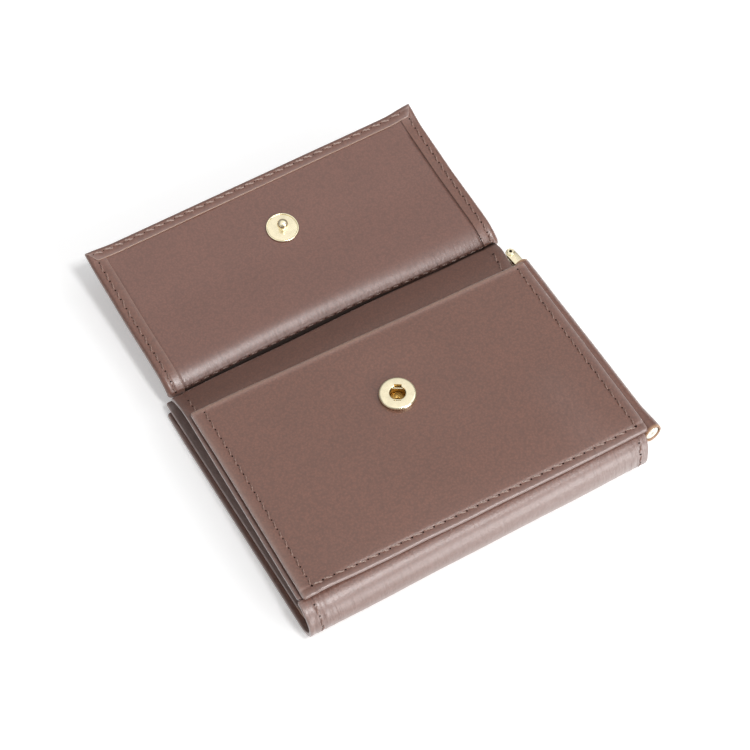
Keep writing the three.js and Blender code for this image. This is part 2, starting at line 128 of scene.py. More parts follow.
# Colours, linear
HIDE = (0.182, 0.074, 0.048)
LINING = (0.184, 0.077, 0.054)
# Cut leather, and a painted highlight on the pocket's rolled mouth
TAN = (0.42, 0.235, 0.13)
# Paleness of rubbed rims, partly wear and partly painted highlight, and of painted sheen and light
PALE_WEAR_AND_LIGHT = (0.43, 0.345, 0.325)
# Painted shade for the crease before the flap and the strip behind the pocket
PAINTED_SHADE_COLOUR = (0.012, 0.007, 0.005)
# The same thread in two copies: the lighter has painted light on it for rows that face the lamps, the darker has
# painted shade for rows lying in trenches and turned away
LIT_THREAD = (0.4, 0.29, 0.25)
SHADED_THREAD = (0.27, 0.165, 0.135)
# Painted shade of the needle holes and of the rivet's hollow
HOLE_SHADE = (0.02, 0.01, 0.008)
BRASS = (0.96, 0.86, 0.61)
# A darker copy of the brass: painted shade inside the socket's hole
SHADED_BRASS = (0.52, 0.33, 0.1)
# Near-white brass: a painted highlight for the rail's end
HIGHLIGHT_BRASS = (0.985, 0.955, 0.86)
BOARD = (0.3, 0.22, 0.15)
FLOOR = (0.93, 0.93, 0.93)
FLOOR_SEEN = (0.95, 0.95, 0.95)
WHITE = (1, 1, 1, 1)

# Leather
STRETCH_PALE = 0.1
COAT = 0.9
COAT_ROUGHNESS = 0.31
SPECULAR = 0.5
CREASE_BUMP, PEBBLE_BUMP, PORE_BUMP = 9, -0.8, 0.35

# Stage, in metres. Lamps: azimuth from front to right, elevation, size and power
FLOOR_REACH = 3
FLOOR_GLOW = 0.28
SKY_FILL = 0.36
SKY_LOW = 0.35
SKY_HIGH = 1.05
LAMP_DISTANCE = 2.5
LAMP_AIM = (0, 0.02, 0.01)
LAMPS = {
    "front_softbox": (17, 62, (0.35, 0.5), 24),
    "low_softbox": (24, 20, (1.3, 1.4), 31),
    "left_softbox": (-85, 30, (2, 1.5), 3),
    "right_softbox": (80, 45, (1.6, 1.3), 7),
}

# Camera, placed as for the photograph
CAMERA_PLACE = (-174.23, -289.48, 558.23)
CAMERA_AZIMUTH = -29.16
CAMERA_ELEVATION = 57.1
CAMERA_LENS = 119.04
CAMERA_SENSOR = 36
CAMERA_CLIP = (0.05, 20)


def box(node):
    low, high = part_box(node)
    return np.array(low) / MM, np.array(high) / MM


HINGES = {joint["name"]: np.array(joint["pos_m"]) / MM for joint in frame["joints"]}
BODIES = frame["record"]["behaviour"]["bodies"]
BODY_OF = {node: body for body, nodes in BODIES.items() for node in nodes}
PANEL_LOW, PANEL_HIGH = box("coin_pocket_panel")
COVER_LOW, COVER_HIGH = box("top_cover")
BASE_LOW, BASE_HIGH = box("bottom_cover")
LINER_LOW, LINER_HIGH = box("bottom_lining")
CORE_LOW, CORE_HIGH = box("spine_lining")
SPINE_LOW, SPINE_HIGH = box("spine_leather")
SNAP_X, SNAP_Y, _ = np.mean(box("snap_socket"), axis=0)
FOLD, CREASE, PIVOT = [HINGES[name] for name in ("bifold_hinge", "flap_hinge", "clip_arm_pivot")]

# Thicknesses
LEATHER = BASE_HIGH[2] - BASE_LOW[2]
LINER = LINER_HIGH[2] - LINER_LOW[2]


# Small tools

def smooth(value):
    value = np.clip(value, 0, 1)
    return value * value * (3 - 2 * value)


def rising(value, start, span):
    """From 0 at start to 1 a span further on."""
    return smooth((value - start) / span)


def falling(value, start, span):
    """From 1 at start to 0 a span further on."""
    return smooth(1 - (value - start) / span)


def bell(away, width):
    return np.exp(-(away / width) ** 2)


def trench(away):
    """How much a seam pulls the leather down, by the distance from its thread."""
    return bell(away, TRENCH)


def turns(count):
    return np.linspace(0, TURN, count, endpoint=False)


def spot(x, y, z):
    return np.stack(np.broadcast_arrays(x, y, z), axis=-1)


def measured(points):
    """Distance along a line of points."""
    steps = np.linalg.norm(np.diff(points, axis=0), axis=1)
    return np.concatenate([[0], np.cumsum(steps)])


def read_off(distance, along, table):
    """The columns of a table by distance along a line."""
    return [np.interp(distance, along, column) for column in table.T]


def ripple(x, y, wavelength, seed):
    """Smooth uneven height from -1 to 1 over a surface."""
    chance = np.random.default_rng(seed)
    total = np.zeros(np.broadcast(x, y).shape)
    count = 5
    for _ in range(count):
        angle, phase = chance.uniform(0, TURN, 2)
        length = wavelength * chance.uniform(0.7, 1.5)
        across = x * math.cos(angle) + y * math.sin(angle)
        total = total + np.sin(across * TURN / length + phase)
    return total / count


class Path:
    """A curve that sheets follow: two coordinates by distance along it and height square to it."""

    def __init__(self, points, rounds=0, step=0.2):
        points = np.array(points, float)
        along = measured(points)
        count = max(2, int(round(along[-1] / step)))
        even = np.linspace(0, along[-1], count + 1)
        points = np.stack(read_off(even, along, points), axis=1)
        for _ in range(rounds):
            points[1:-1] = (points[:-2] + 2 * points[1:-1] + points[2:]) / 4
        self.along = measured(points)
        self.length = self.along[-1]
        self.table = np.hstack([points, np.gradient(points, self.along, axis=0)])

    def at(self, distance, height):
        p, q, dp, dq = read_off(distance, self.along, self.table)
        size = np.hypot(dp, dq)
        return p - height * dq / size, q + height * dp / size

    def where(self, p):
        """Distance along the curve by its first coordinate, which must rise."""
        return np.interp(p, self.table[:, 0], self.along)


def half_turn(p, q, radius, count):
    """Points of a circle from its top round its near side to its bottom."""
    turn = np.radians(np.linspace(90, 270, count))
    return [*zip(p + radius * np.cos(turn), q + radius * np.sin(turn))]


# Where grid lines lie beside a rim and a seam, and how close together they may come
RIM_LINES = np.array([0.134, 0.5, 1, 1.6, 3])
SEAM_LINES = TRENCH * np.array([-2.4, -1.5, -1, -0.5, 0, 0.5, 1, 1.5, 2.4])
LEAST_INSET = 0.01
LEAST_STEP = 0.015


def lines(low, high, step, thickness, seams=(), fine=()):
    """Grid lines, close together at the soft rims, beside the seams and over the fine stretches."""
    rims = RIM * thickness * RIM_LINES
    parts = [low + rims, high - rims, np.arange(low + rims[-1], high - rims[-1], step)]
    parts += [seam + SEAM_LINES for seam in seams]
    parts += [np.arange(start, end, gap) for start, end, gap in fine]
    values = np.sort(np.concatenate(parts))
    values = values[(values > low + LEAST_INSET) & (values < high - LEAST_INSET)]
    values = values[np.concatenate([[True], np.diff(values) > LEAST_STEP])]
    return np.concatenate([[low], values, [high]])


# Meshes

WELD = 0.002
SHARP = math.radians(38)


def put(name, data):
    made = bpy.data.objects.new(name, data)
    bpy.context.scene.collection.objects.link(made)
    return made


def rework(mesh, change):
    shape = bmesh.new()
    shape.from_mesh(mesh)
    change(shape)
    shape.to_mesh(mesh)
    shape.free()
    mesh.shade_smooth()


def make_object(name, points, faces, materials, looks, which=0):
    """looks are attributes by point, and which says what material each face has."""
    used = np.unique(np.concatenate([np.ravel(face) for face in faces]))
    faces = [np.searchsorted(used, face).tolist() for face in faces]
    mesh = bpy.data.meshes.new(name)
    mesh.from_pydata((points[used] * MM).tolist(), [], faces)
    for material in materials:
        mesh.materials.append(material)
    mesh.polygons.foreach_set("material_index", np.broadcast_to(which, len(faces)).astype(np.int32))
    for key, values in looks.items():
        layer = mesh.attributes.new(key, "FLOAT", "POINT")
        layer.data.foreach_set("value", values[used].astype(np.float32))
    rework(mesh, lambda shape: bmesh.ops.recalc_face_normals(shape, faces=shape.faces))
    return put(name, mesh)


def round_corners(x, y, corner):
    """A rectangle's grid points drawn in to rounded corners, and how deep each lies inside."""
    flat = np.stack([x, y])
    low, high = flat.min(axis=(1, 2), keepdims=True), flat.max(axis=(1, 2), keepdims=True)
    middle, half = (low + high) / 2, (high - low) / 2
    past = np.abs(flat - middle) - half + corner
    inside = (past > 0).all(axis=0)
    drawn = past * np.sqrt(np.maximum(0, 1 - (past[::-1] / corner) ** 2 / 2))
    drawn = np.where(inside, drawn, past)
    depth = corner - np.where(inside, np.hypot(*drawn), past.max(axis=0))
    x, y = middle + np.sign(flat - middle) * (half - corner + drawn)
    return x, y, np.maximum(depth, 0)


def quads(grid):
    corners = [grid[..., :-1, :-1], grid[..., 1:, :-1], grid[..., 1:, 1:], grid[..., :-1, 1:]]
    return np.stack([part.ravel() for part in corners], axis=1)


def outline(grid):
    return np.concatenate([grid[:-1, 0], grid[-1, :-1], grid[:0:-1, -1], grid[0, :0:-1]])


def sheet(name, xs, ys, thickness, place, material, corner=0.6, hole=None, **wear_and_light):
    """A closed sheet of leather with softened rims. xs and ys are its grid lines in the flat.
    place(x, y, height) bends it into shape. hole is the place and radius of a punched hole."""
    rim = RIM * thickness
    x, y = np.meshgrid(xs, ys, indexing="ij")
    x, y, depth = round_corners(x, y, corner)
    drop = rim - rim * np.sqrt(1 - (1 - np.clip(depth / rim, 0, 1)) ** 2)
    over = place(x, y, thickness - drop)
    under = place(x, y, drop)
    top = np.arange(x.size).reshape(x.shape)
    bottom = top + x.size
    points = np.concatenate([over.reshape(-1, 3), under.reshape(-1, 3)])
    flat = quads(top)
    if hole is not None:
        middles = np.stack([x.ravel(), y.ravel()])[:, flat].mean(axis=2)
        flat = flat[np.hypot(middles[0] - hole[0], middles[1] - hole[1]) > hole[2]]
    wall = np.stack([outline(top), outline(bottom)])
    wall = np.concatenate([wall, wall[:, :1]], axis=1)
    faces = np.concatenate([flat, (flat + x.size)[:, ::-1], quads(wall)])
    gaps = [x - xs[0], xs[-1] - x, y - ys[0], ys[-1] - y]
    looks = {key: np.tile(values.ravel(), 2) for key, values in wear_and_painted_light(x, y, gaps, rim, **wear_and_light).items()}
    # Painted shade goes only on the upper side
    looks["painted_shade"][x.size:] = 0
    return make_object(name, points, faces, [material], looks)


def nowhere(x, y):
    return np.zeros(x.shape)


def wear_and_painted_light(x, y, gaps, rim, raw_and_glint=NONE, rubbed=NONE, tanned=nowhere, painted_paleness=nowhere, bent=nowhere, painted_shade=nowhere):
    """Wear, painted light and painted shade over a sheet. The first two say how much cut leather and paleness show
    at the rims of low x, high x, low y and high y; the rims' paleness is partly rubbed wear and partly a painted
    highlight. The others say where else it is tan, as cut leather and as a painted highlight on the pocket's
    mouth, is pale with painted sheen and light, is creased, and is dark with painted shade on its upper side."""
    cut = np.max([amount * np.clip(1.2 - gap / rim, 0, 1) for amount, gap in zip(raw_and_glint, gaps)], axis=0)
    pale = np.max([amount * np.exp(-gap / RUB_AND_GLINT_REACH) for amount, gap in zip(rubbed, gaps)], axis=0)
    return {
        "raw_and_glint": np.maximum(cut, tanned(x, y)),
        "rubbed": np.maximum(pale, painted_paleness(x, y)),
        "creased": bent(x, y),
        "painted_shade": painted_shade(x, y),
    }


def tube(name, rings, material, raw_and_glint=0):
    """A closed skin over rings of points, the last ring joined to the first."""
    count, sides = rings.shape[:2]
    index = np.pad(np.arange(count * sides).reshape(count, sides), (0, 1), mode="wrap")
    looks = {"raw_and_glint": np.repeat(np.broadcast_to(raw_and_glint, count), sides)}
    return make_object(name, rings.reshape(-1, 3), quads(index), [material], looks)


def lathe(profile, sides):
    """A profile of radius and height turned round an axis: two directions across it, and the height."""
    radius, height = np.array(profile, float).T[:, :, None]
    return radius * np.cos(turns(sides)), radius * np.sin(turns(sides)), height


def polished(node, material, slot, bend=None):
    """The CAD form of a metal or board piece, welded and smoothly shaded. bend(points) alters it."""
    mesh = frame["nodes"][node].data.copy()
    if bend is not None:
        points = np.array([vertex.co for vertex in mesh.vertices]) / MM
        mesh.vertices.foreach_set("co", (bend(points) * MM).ravel())
    mesh.materials.clear()
    mesh.materials.append(material)
    if "custom_normal" in mesh.attributes:
        mesh.attributes.remove(mesh.attributes["custom_normal"])
    rework(mesh, lambda shape: bmesh.ops.remove_doubles(shape, verts=shape.verts, dist=WELD * MM))
    mesh.set_sharp_from_angle(angle=SHARP)
    settle(put(node + "_finish", mesh), BODY_OF[node], slot, node)


def settle(made, body, slot, *nodes):
    """Lets a finished piece move with its body, and hides the CAD nodes that it stands in for."""
    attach(made, body)
    stand_for(made, slot, *nodes)


def stand_for(made, slot, *nodes):
    if nodes:
        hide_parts(*nodes)


# Thread

def seam(place, x, y, height, side=1):
    """A line drawn on a bent sheet: its length, and a function from distance along it to place and to
    the directions along it, across it and out of the sheet."""
    x, y = np.broadcast_arrays(x, y)
    base = place(x, y, np.full(x.shape, float(height)))
    out = place(x, y, np.full(x.shape, height + 0.3 * side)) - base
    out = out / np.linalg.norm(out, axis=1, keepdims=True)
    along = measured(base)
    table = np.hstack([base, np.gradient(base, along, axis=0), out])

    def at(distance):
        found = np.stack(read_off(distance, along, table), axis=-1)
        centre, forward, up = np.split(found, 3, axis=-1)
        return centre, forward, np.cross(forward, up), up

    return along[-1], at


def ringed(first, second, angle):
    return first * np.cos(angle)[..., None] + second * np.sin(angle)[..., None]


def stitches(name, line, materials, pitch=PITCH, seed=1, width=0.23, rise=0.08, slant=0.34, hole=0.4):
    """Twisted two-ply stitches along a seam, each diving into a needle hole at both ends."""
    chance = np.random.default_rng(seed)
    length, at = line
    count = max(1, int(round(length / pitch)))
    gap = length / count
    t = np.linspace(0, 1, PLY_RINGS)
    starts = (np.arange(count) + STITCH_START) * gap + chance.normal(0, START_JITTER, count) * gap
    spans = gap * (STITCH_SPAN + chance.normal(0, SPAN_JITTER, count))
    centre, _, across, up = at(starts[:, None] + spans[:, None] * t)
    lean = chance.normal(slant, SLANT_JITTER, count)[:, None] * (t - 0.5) * 2
    arch = rise + 0.05 * width - STITCH_DIVE * np.abs(2 * t - 1) ** 5
    centre = centre + across * lean[..., None] + up * arch[None, :, None]
    twist = PLY_TWIST * t[None, :, None] + math.pi * np.arange(PLIES)
    twist = twist + chance.uniform(0, TURN, count)[:, None, None]
    ply = centre[:, :, None] + 0.5 * width * ringed(across[:, :, None], up[:, :, None], twist)
    wall = ringed(across[:, :, None, None], up[:, :, None, None], turns(PLY_SIDES))
    skin = (ply[:, :, :, None] + PLY_RADIUS * width * wall).transpose(0, 2, 1, 3, 4)
    index = np.arange(skin[..., 0].size).reshape(skin.shape[:-1])
    faces = quads(np.concatenate([index, index[..., :1]], axis=-1))
    holes = needle_holes(at, np.arange(count + 1) * gap, hole)
    rounds = index.size + np.arange(holes[..., 0].size).reshape(holes.shape[:-1])
    points = np.concatenate([skin.reshape(-1, 3), holes.reshape(-1, 3)])
    which = [0] * len(faces) + [1] * len(rounds)
    return make_object(name, points, [*faces, *rounds], materials, {}, which)


def needle_holes(at, distance, radius):
    """Small dark rounds between the stitches: painted shade of the needle holes."""
    centre, forward, across, up = at(distance)
    spread = ringed(HOLE_SQUASH * forward[:, None], across[:, None], turns(HOLE_SIDES))
    return centre[:, None] + HOLE_RISE * up[:, None] + radius * spread


# Materials

def new_material(name):
    material = bpy.data.materials.new(name)
    material.use_nodes = True
    return material, material.node_tree, material.node_tree.nodes["Principled BSDF"]


def feed(tree, node, inputs):
    """Sets a node's inputs, or links them to other nodes' outputs."""
    for key, value in inputs.items():
        if isinstance(value, bpy.types.NodeSocket):
            tree.links.new(value, node.inputs[key])
        else:
            node.inputs[key].default_value = value


def add(tree, kind, output, inputs=None, **settings):
    made = tree.nodes.new("ShaderNode" + kind)
    for key, value in settings.items():
        setattr(made, key, value)
    feed(tree, made, inputs or {})
    return made.outputs[output]


def place_in(tree):
    return add(tree, "TexCoord", "Object")


def attribute(tree, name):
    return add(tree, "Attribute", "Fac", attribute_name=name)


def dye(colour, level=1):
    return (*[level * c for c in colour], 1)


def mix(tree, factor, first, second):
    return add(tree, "Mix", 2, {0: factor, 6: first, 7: second}, data_type="RGBA")


def ranged(tree, value, low, high, to_low, to_high):
    inputs = {"Value": value, "From Min": low, "From Max": high, "To Min": to_low, "To Max": to_high}
    return add(tree, "MapRange", "Result", inputs)


def varied(tree, noise_value, low, high):
    """The usual range of a noise brought to another range."""
    return ranged(tree, noise_value, 0.3, 0.7, low, high)


def maths(tree, operation, *values, **settings):
    return add(tree, "Math", 0, dict(enumerate(values)), operation=operation, **settings)


def scaled(tree, value, factor, plus):
    return maths(tree, "MULTIPLY_ADD", value, factor, plus)


def noise(tree, where, size, detail=3):
    inputs = {"Vector": where, "Scale": 1 / (size * MM), "Detail": detail}
    return add(tree, "TexNoise", "Fac", inputs)


def bump(tree, height, strength, depth):
    inputs = {"Height": height, "Strength": strength, "Distance": depth * MM}
    return add(tree, "Bump", "Normal", inputs)


# Creases are short across the fold and long round it
FOLD_SCALE = (1 / (0.9 * MM), 1 / (6 * MM), 1 / (6 * MM))


def leather_material(name, colour, roughness, grain, depth):
    """Grained leather: pebbled bump, cloudy colour, paler where stretched and at rubbed rims, with painted
    highlight, sheen and light mixed into the same paleness, tan where cut and where a highlight is painted on the
    pocket's mouth, and dark where shade is painted, with less coat there.
    """
    material, tree, skin = new_material(name)
    where = place_in(tree)
    pebbles = {"Vector": where, "Scale": 1 / (grain * MM), "Smoothness": 0.6}
    cells = add(tree, "TexVoronoi", "Distance", pebbles, feature="SMOOTH_F1")
    pores = noise(tree, where, grain * 0.45)
    cloud = noise(tree, where, 14, 5)
    blotch = noise(tree, where, 1.4)
    raw_and_glint, rubbed, creased, painted_shade = [attribute(tree, key) for key in ("raw_and_glint", "rubbed", "creased", "painted_shade")]
    level = maths(tree, "MULTIPLY", varied(tree, cloud, 0.96, 1.04), varied(tree, blotch, 0.94, 1.06))
    level = maths(tree, "MULTIPLY", level, ranged(tree, cells, 0.1, 0.7, 1.08, 0.8))
    tone = add(tree, "HueSaturation", "Color", {"Value": level, "Color": dye(colour)})
    # Paleness from stretching, from rubbed rims that are partly painted highlight, and from painted sheen and
    # light
    paled = scaled(tree, maths(tree, "MINIMUM", creased, 1), STRETCH_PALE, rubbed)
    paled = maths(tree, "MULTIPLY", paled, varied(tree, blotch, 0.75, 1), use_clamp=True)
    tone = mix(tree, paled, tone, dye(PALE_WEAR_AND_LIGHT))
    # Painted shade darkens the colour here, and coat and specular are cut where it lies
    tone = mix(tree, painted_shade, tone, dye(PAINTED_SHADE_COLOUR))
    stretched = add(tree, "VectorMath", 0, {0: where, 1: FOLD_SCALE}, operation="MULTIPLY")
    folds = add(tree, "TexNoise", "Fac", {"Vector": stretched, "Scale": 1, "Detail": 2})
    height = scaled(tree, maths(tree, "MULTIPLY", folds, creased), CREASE_BUMP, 0)
    height = scaled(tree, pores, PORE_BUMP, scaled(tree, cells, PEBBLE_BUMP, height))
    feed(tree, skin, {
        # Tan for cut leather, and for the painted highlight on the pocket's mouth
        "Base Color": mix(tree, raw_and_glint, tone, dye(TAN)),
        "Coat Weight": scaled(tree, painted_shade, -COAT, COAT),
        "Coat Roughness": COAT_ROUGHNESS,
        "Specular IOR Level": scaled(tree, painted_shade, -SPECULAR, SPECULAR),
        "Roughness": varied(tree, blotch, roughness - 0.05, roughness + 0.07),
        "Normal": bump(tree, height, 0.8, depth),
    })
    return material


def thread_material(name, colour):
    material, tree, fibre = new_material(name)
    fuzz = noise(tree, place_in(tree), 0.25)
    share = ranged(tree, fuzz, 0.35, 0.65, 0, 1)
    feed(tree, fibre, {
        "Base Color": mix(tree, share, dye(colour, 0.75), dye(colour, 1.3)),
        "Roughness": 0.42,
        "Normal": bump(tree, fuzz, 0.3, 0.03),
    })
    return material


def matt_material(name, colour, darkest, size, detail, roughness, specular):
    material, tree, matt = new_material(name)
    shade = noise(tree, place_in(tree), size, detail)
    feed(tree, matt, {
        "Base Color": mix(tree, shade, dye(colour, darkest), dye(colour)),
        "Roughness": roughness,
        "Specular IOR Level": specular,
    })
    return material


def brass_material(name, colour, roughness):
    """Brass with fine rubbing marks and slight tarnish."""
    material, tree, metal = new_material(name)
    where = place_in(tree)
    tarnish = ranged(tree, noise(tree, where, 1.6, 4), 0.4, 0.75, 0, 0.7)
    marks = noise(tree, where, 0.3, 6)
    feed(tree, metal, {
        "Base Color": mix(tree, tarnish, dye(colour), dye(colour, 0.82)),
        "Metallic": 1,
        "Roughness": varied(tree, marks, roughness - 0.06, roughness + 0.06),
        "Normal": bump(tree, marks, 0.08, 0.02),
    })
    return material


HIDE_LEATHER = leather_material("hide_leather", HIDE, 0.4, 0.6, 0.09)
LINING_LEATHER = leather_material("lining_leather", LINING, 0.4, 0.55, 0.08)
PIT_SHADE = matt_material("needle_hole_shade", HOLE_SHADE, 0.6, 0.4, 3, 0.9, 0.1)
# Lit and shaded copies of the same thread
LIT_SEWING = [thread_material("lit_waxed_thread", LIT_THREAD), PIT_SHADE]
SHADED_SEWING = [thread_material("shaded_thread", SHADED_THREAD), PIT_SHADE]
METAL = brass_material("polished_brass", BRASS, 0.2)
SHADED_METAL = brass_material("shaded_brass", SHADED_BRASS, 0.45)
HIGHLIGHT_METAL = brass_material("highlight_brass", HIGHLIGHT_BRASS, 0.16)
STIFF = matt_material("stiffener_board", BOARD, 0.8, 0.8, 5, 0.85, 0.5)


# Bottom half: one hide from the rear edge of the underside to the top of the front fold

def fold_path(low, high, rear):
    """From the top of the fold round the front and back along the bottom, on the outside."""
    middle = (low[2] + high[2]) / 2
    radius = (high[2] - low[2]) / 2
    return Path([*half_turn(high[1], middle, radius, 60), (rear, middle - radius)])


HIDE_FOLD = fold_path(SPINE_LOW, SPINE_HIGH, BASE_HIGH[1])
LINING_FOLD = fold_path(CORE_LOW, CORE_HIGH, LINER_HIGH[1])
ROUND_FOLD = math.pi * (SPINE_HIGH[2] - SPINE_LOW[2]) / 2
ROUND_LINING = math.pi * (CORE_HIGH[2] - CORE_LOW[2]) / 2
HIDE_SEAM_LEFT = BASE_LOW[0] + COVER_SEAM
HIDE_SEAM_RIGHT = BASE_HIGH[0] - 2.4
HIDE_SEAM_REAR = HIDE_FOLD.length - COVER_SEAM
SPINE_PAST = 1.5
SPINE_TOP_PAST = 1.2
FLARE_LEFT, FLARE_RIGHT = 1.3, -0.7
PUCKER_REACH = 3.5
PUCKER_DEPTH = 0.09
LINING_CURL = 1.3


def widened(x, along, low, high, top_low, top_high, fold):
    """X on a piece whose fold is cut to other ends than its flat part."""
    share = 1 - np.clip((along - fold) / 60, 0, 1)
    left = low + (top_low - low) * share
    right = high + (top_high - high) * share
    return left + (x - low) * (right - left) / (high - low)


def base_share(x):
    """0 at the left end of the bottom hide, 1 at its right."""
    return (x - BASE_LOW[0]) / (BASE_HIGH[0] - BASE_LOW[0])


def puckers(x, along):
    """Small folds across the spine beside its end seams, deepest at the front."""
    front = falling(np.abs(along - ROUND_FOLD * 0.45), 0, ROUND_FOLD * 0.5)
    ends = bell(x - HIDE_SEAM_LEFT, PUCKER_REACH) + bell(x - HIDE_SEAM_RIGHT, PUCKER_REACH)
    waves = np.sin(x * TURN / 2.1 + 0.25 * along) + 0.6 * np.sin(x * TURN / 3.3 - 0.2 * along)
    return PUCKER_DEPTH * front * ends * waves


def fold_seams(x, along):
    return trench(x - HIDE_SEAM_LEFT) + trench(x - HIDE_SEAM_RIGHT) + trench(along - HIDE_SEAM_REAR)


def fold_flare(x, along):
    """How far the fold stands out in front: more open at its left end than at its right."""
    flare = FLARE_LEFT + (FLARE_RIGHT - FLARE_LEFT) * base_share(x)
    return flare * rising(along, 0, 0.45 * ROUND_FOLD) * falling(along, ROUND_FOLD, 30)


def place_hide(flat, along, height):
    left, half = BASE_LOW[0], ROUND_FOLD / 2
    right = SPINE_HIGH[0] + SPINE_PAST + SPINE_TOP_PAST * falling(along, 0, half)
    x = widened(flat, along, left, BASE_HIGH[0], SPINE_LOW[0], right, ROUND_FOLD)
    x = x - (0.4 + 0.3 * rising(along, 0, HIDE_FOLD.length)) * falling(flat, left, 2.6)
    outer = np.clip(1 - height / LEATHER, 0, PAST_FACE)
    sag = 0.22 * ripple(x, along * 2, 34, 5) * falling(np.abs(along - half), 0, half)
    inward = outer * (SEAM_DEPTH * fold_seams(flat, along) + puckers(flat, along)) + sag
    y, z = HIDE_FOLD.at(along, height + inward)
    corner = falling(flat, left, 9) * rising(along, HIDE_FOLD.length - 9, 9)
    return spot(x, y - fold_flare(flat, along) - 1.1 * corner, z)


def place_base_lining(x, along, height):
    low, high = LINER_LOW[0], LINER_HIGH[0]
    x = widened(x, along, low, high, CORE_LOW[0], CORE_HIGH[0], ROUND_LINING)
    sag = 0.12 * ripple(x, along, 26, 8) * falling(along, 0, ROUND_LINING)
    corner = rising(along, LINING_FOLD.length - 12, 12)
    curl = LINING_CURL * corner * falling(x, low, 14)
    y, z = LINING_FOLD.at(along, height + sag + curl)
    return spot(x - 0.5 * corner, y + 1.2 * corner, z)


def fold_creases(x, along):
    """How much the hide is creased: over the fold, most towards its ends."""
    ends = bell(x - BASE_LOW[0], 14) + bell(x - BASE_HIGH[0], 14)
    return falling(along, ROUND_FOLD * 0.5, ROUND_FOLD * 0.4) * (0.35 + 0.55 * ends)


def fold_painted_sheen(x, along):
    """Painted sheen and reflection: the fold is pale, most below its front and to the right."""
    round_it = rising(along / ROUND_FOLD, 0.04, 0.3) * falling(along, ROUND_FOLD * 0.8, 8)
    return (0.33 + 0.4 * base_share(x)) * round_it


# Painted light: the bottom lining is paler towards its left edge, where light reaches into the gap
def lining_painted_light(x, along):
    return 0.85 * np.exp(-(x - LINER_LOW[0]) / 9)


def lining_end(x, along):
    """The lining's left end shows its cut edge round the fold."""
    return 0.75 * falling(x, LINER_LOW[0], 0.4) * falling(along, ROUND_LINING, 2)


def bend_with_fold(made):
    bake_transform(made)


def bottom_hide():
    left, right = HIDE_SEAM_LEFT, HIDE_SEAM_RIGHT
    ends = [(left - 4, left + 8, 0.4), (right - 8, right + 4, 0.4)]
    xs = lines(BASE_LOW[0], BASE_HIGH[0], 2.5, LEATHER, (left, right), ends)
    ys = lines(0, HIDE_FOLD.length, 3, LEATHER, (HIDE_SEAM_REAR,), [(0, ROUND_FOLD + 2, 0.4)])
    wear_and_light = {"rubbed": (0.6, 0.6, 0, 0.2), "bent": fold_creases, "painted_paleness": fold_painted_sheen}
    made = sheet("bottom_hide", xs, ys, LEATHER, place_hide, HIDE_LEATHER, 0.7, **wear_and_light)
    bend_with_fold(made)
    stand_for(made, "leather", "bottom_cover", "spine_leather")


def base_lining():
    low, high, thick = LINER_LOW, LINER_HIGH, LINER
    xs = lines(low[0], high[0], 3, thick)
    ys = lines(0, LINING_FOLD.length, 3, thick, (), [(0, ROUND_LINING + 2, 0.4)])
    wear_and_light = {"rubbed": (0.5, 0.3, 0, 0.2), "tanned": lining_end, "painted_paleness": lining_painted_light}
    made = sheet("base_lining", xs, ys, thick, place_base_lining, LINING_LEATHER, **wear_and_light)
    bend_with_fold(made)
    stand_for(made, "lining", "bottom_lining", "spine_lining")


def hide_stitches():
    along = np.linspace(2.5, HIDE_SEAM_REAR, 260)
    rows = {
        "left": (HIDE_SEAM_LEFT, along),
        "right": (HIDE_SEAM_RIGHT, along),
        "rear": (np.linspace(HIDE_SEAM_LEFT, HIDE_SEAM_RIGHT, 120), HIDE_SEAM_REAR),
    }
    for number, (side, (x, y)) in enumerate(rows.items()):
        made = stitches("base_stitches_" + side, seam(place_hide, x, y, 0, -1), SHADED_SEWING, seed=20 + number)
        bend_with_fold(made)


def card_pocket(node, seed):
    """A pocket panel with a creased mouth, sewn down at both sides."""
    low, high = box(node)
    thick = high[2] - low[2]
    left, right = low[0] + CARD_SEAM, high[0] - CARD_SEAM
    crease = high[1] - CARD_CREASE

    def place(x, y, height):
        seams = trench(x - left) + trench(x - right) + 0.7 * trench(y - crease)
        return spot(x, y, low[2] + height - CARD_SEAM_DEPTH * np.clip(height / thick, 0, PAST_FACE) * seams)

    xs = lines(low[0], high[0], 3, thick, (left, right))
    ys = lines(low[1], high[1], 3, thick, (crease,))
    rubbed = (0.2, 0.2, 0.2, 0.3)
    made = sheet(node + "_leather", xs, ys, thick, place, LINING_LEATHER, CORNER, rubbed=rubbed)
    settle(made, "bottom_half", "lining", node)
    along = np.linspace(low[1] + 1.5, high[1] - 1, 60)
    for side, x in (("left", left), ("right", right)):
        row = stitches(f"{node}_stitches_{side}", seam(place, x, along, thick), LIT_SEWING, seed=seed)
        settle(row, "bottom_half", "leather")


# Top half

def strip_drop(y):
    """The strip behind the pocket droops towards the crease."""
    start = PANEL_HIGH[1] - DROP_LEAD
    return STRIP_DROP * np.maximum(0, (y - start) / (COVER_HIGH[1] - start)) ** 2


def flap_point(v, w):
    """From the flap's own directions, away from the hinge and up out of its face, to Y and Z."""
    y = CREASE[1] + v * math.cos(FLAP_TILT) - w * math.sin(FLAP_TILT)
    z = CREASE[2] + v * math.sin(FLAP_TILT) + w * math.cos(FLAP_TILT)
    return y, z


def corner_lift(x, v):
    """The flap's two far corners curl up, the right one more."""
    start = FLAP_EDGE - 9
    return rising(v, FLAP_FAR - 8, 8) * (rising(-x, start, 9) + 1.6 * rising(x, start, 9))


def yawed(x, y, z):
    """The open flap lies slightly askew behind the pocket."""
    angle = FLAP_YAW * rising(y, PANEL_HIGH[1], CREASE[1] - PANEL_HIGH[1])
    return spot(x - (y - CREASE[1]) * np.sin(angle), y + x * np.sin(angle), z)


FLAP_START = np.array(flap_point(FLAP_ROOT, FLAP_BACK))


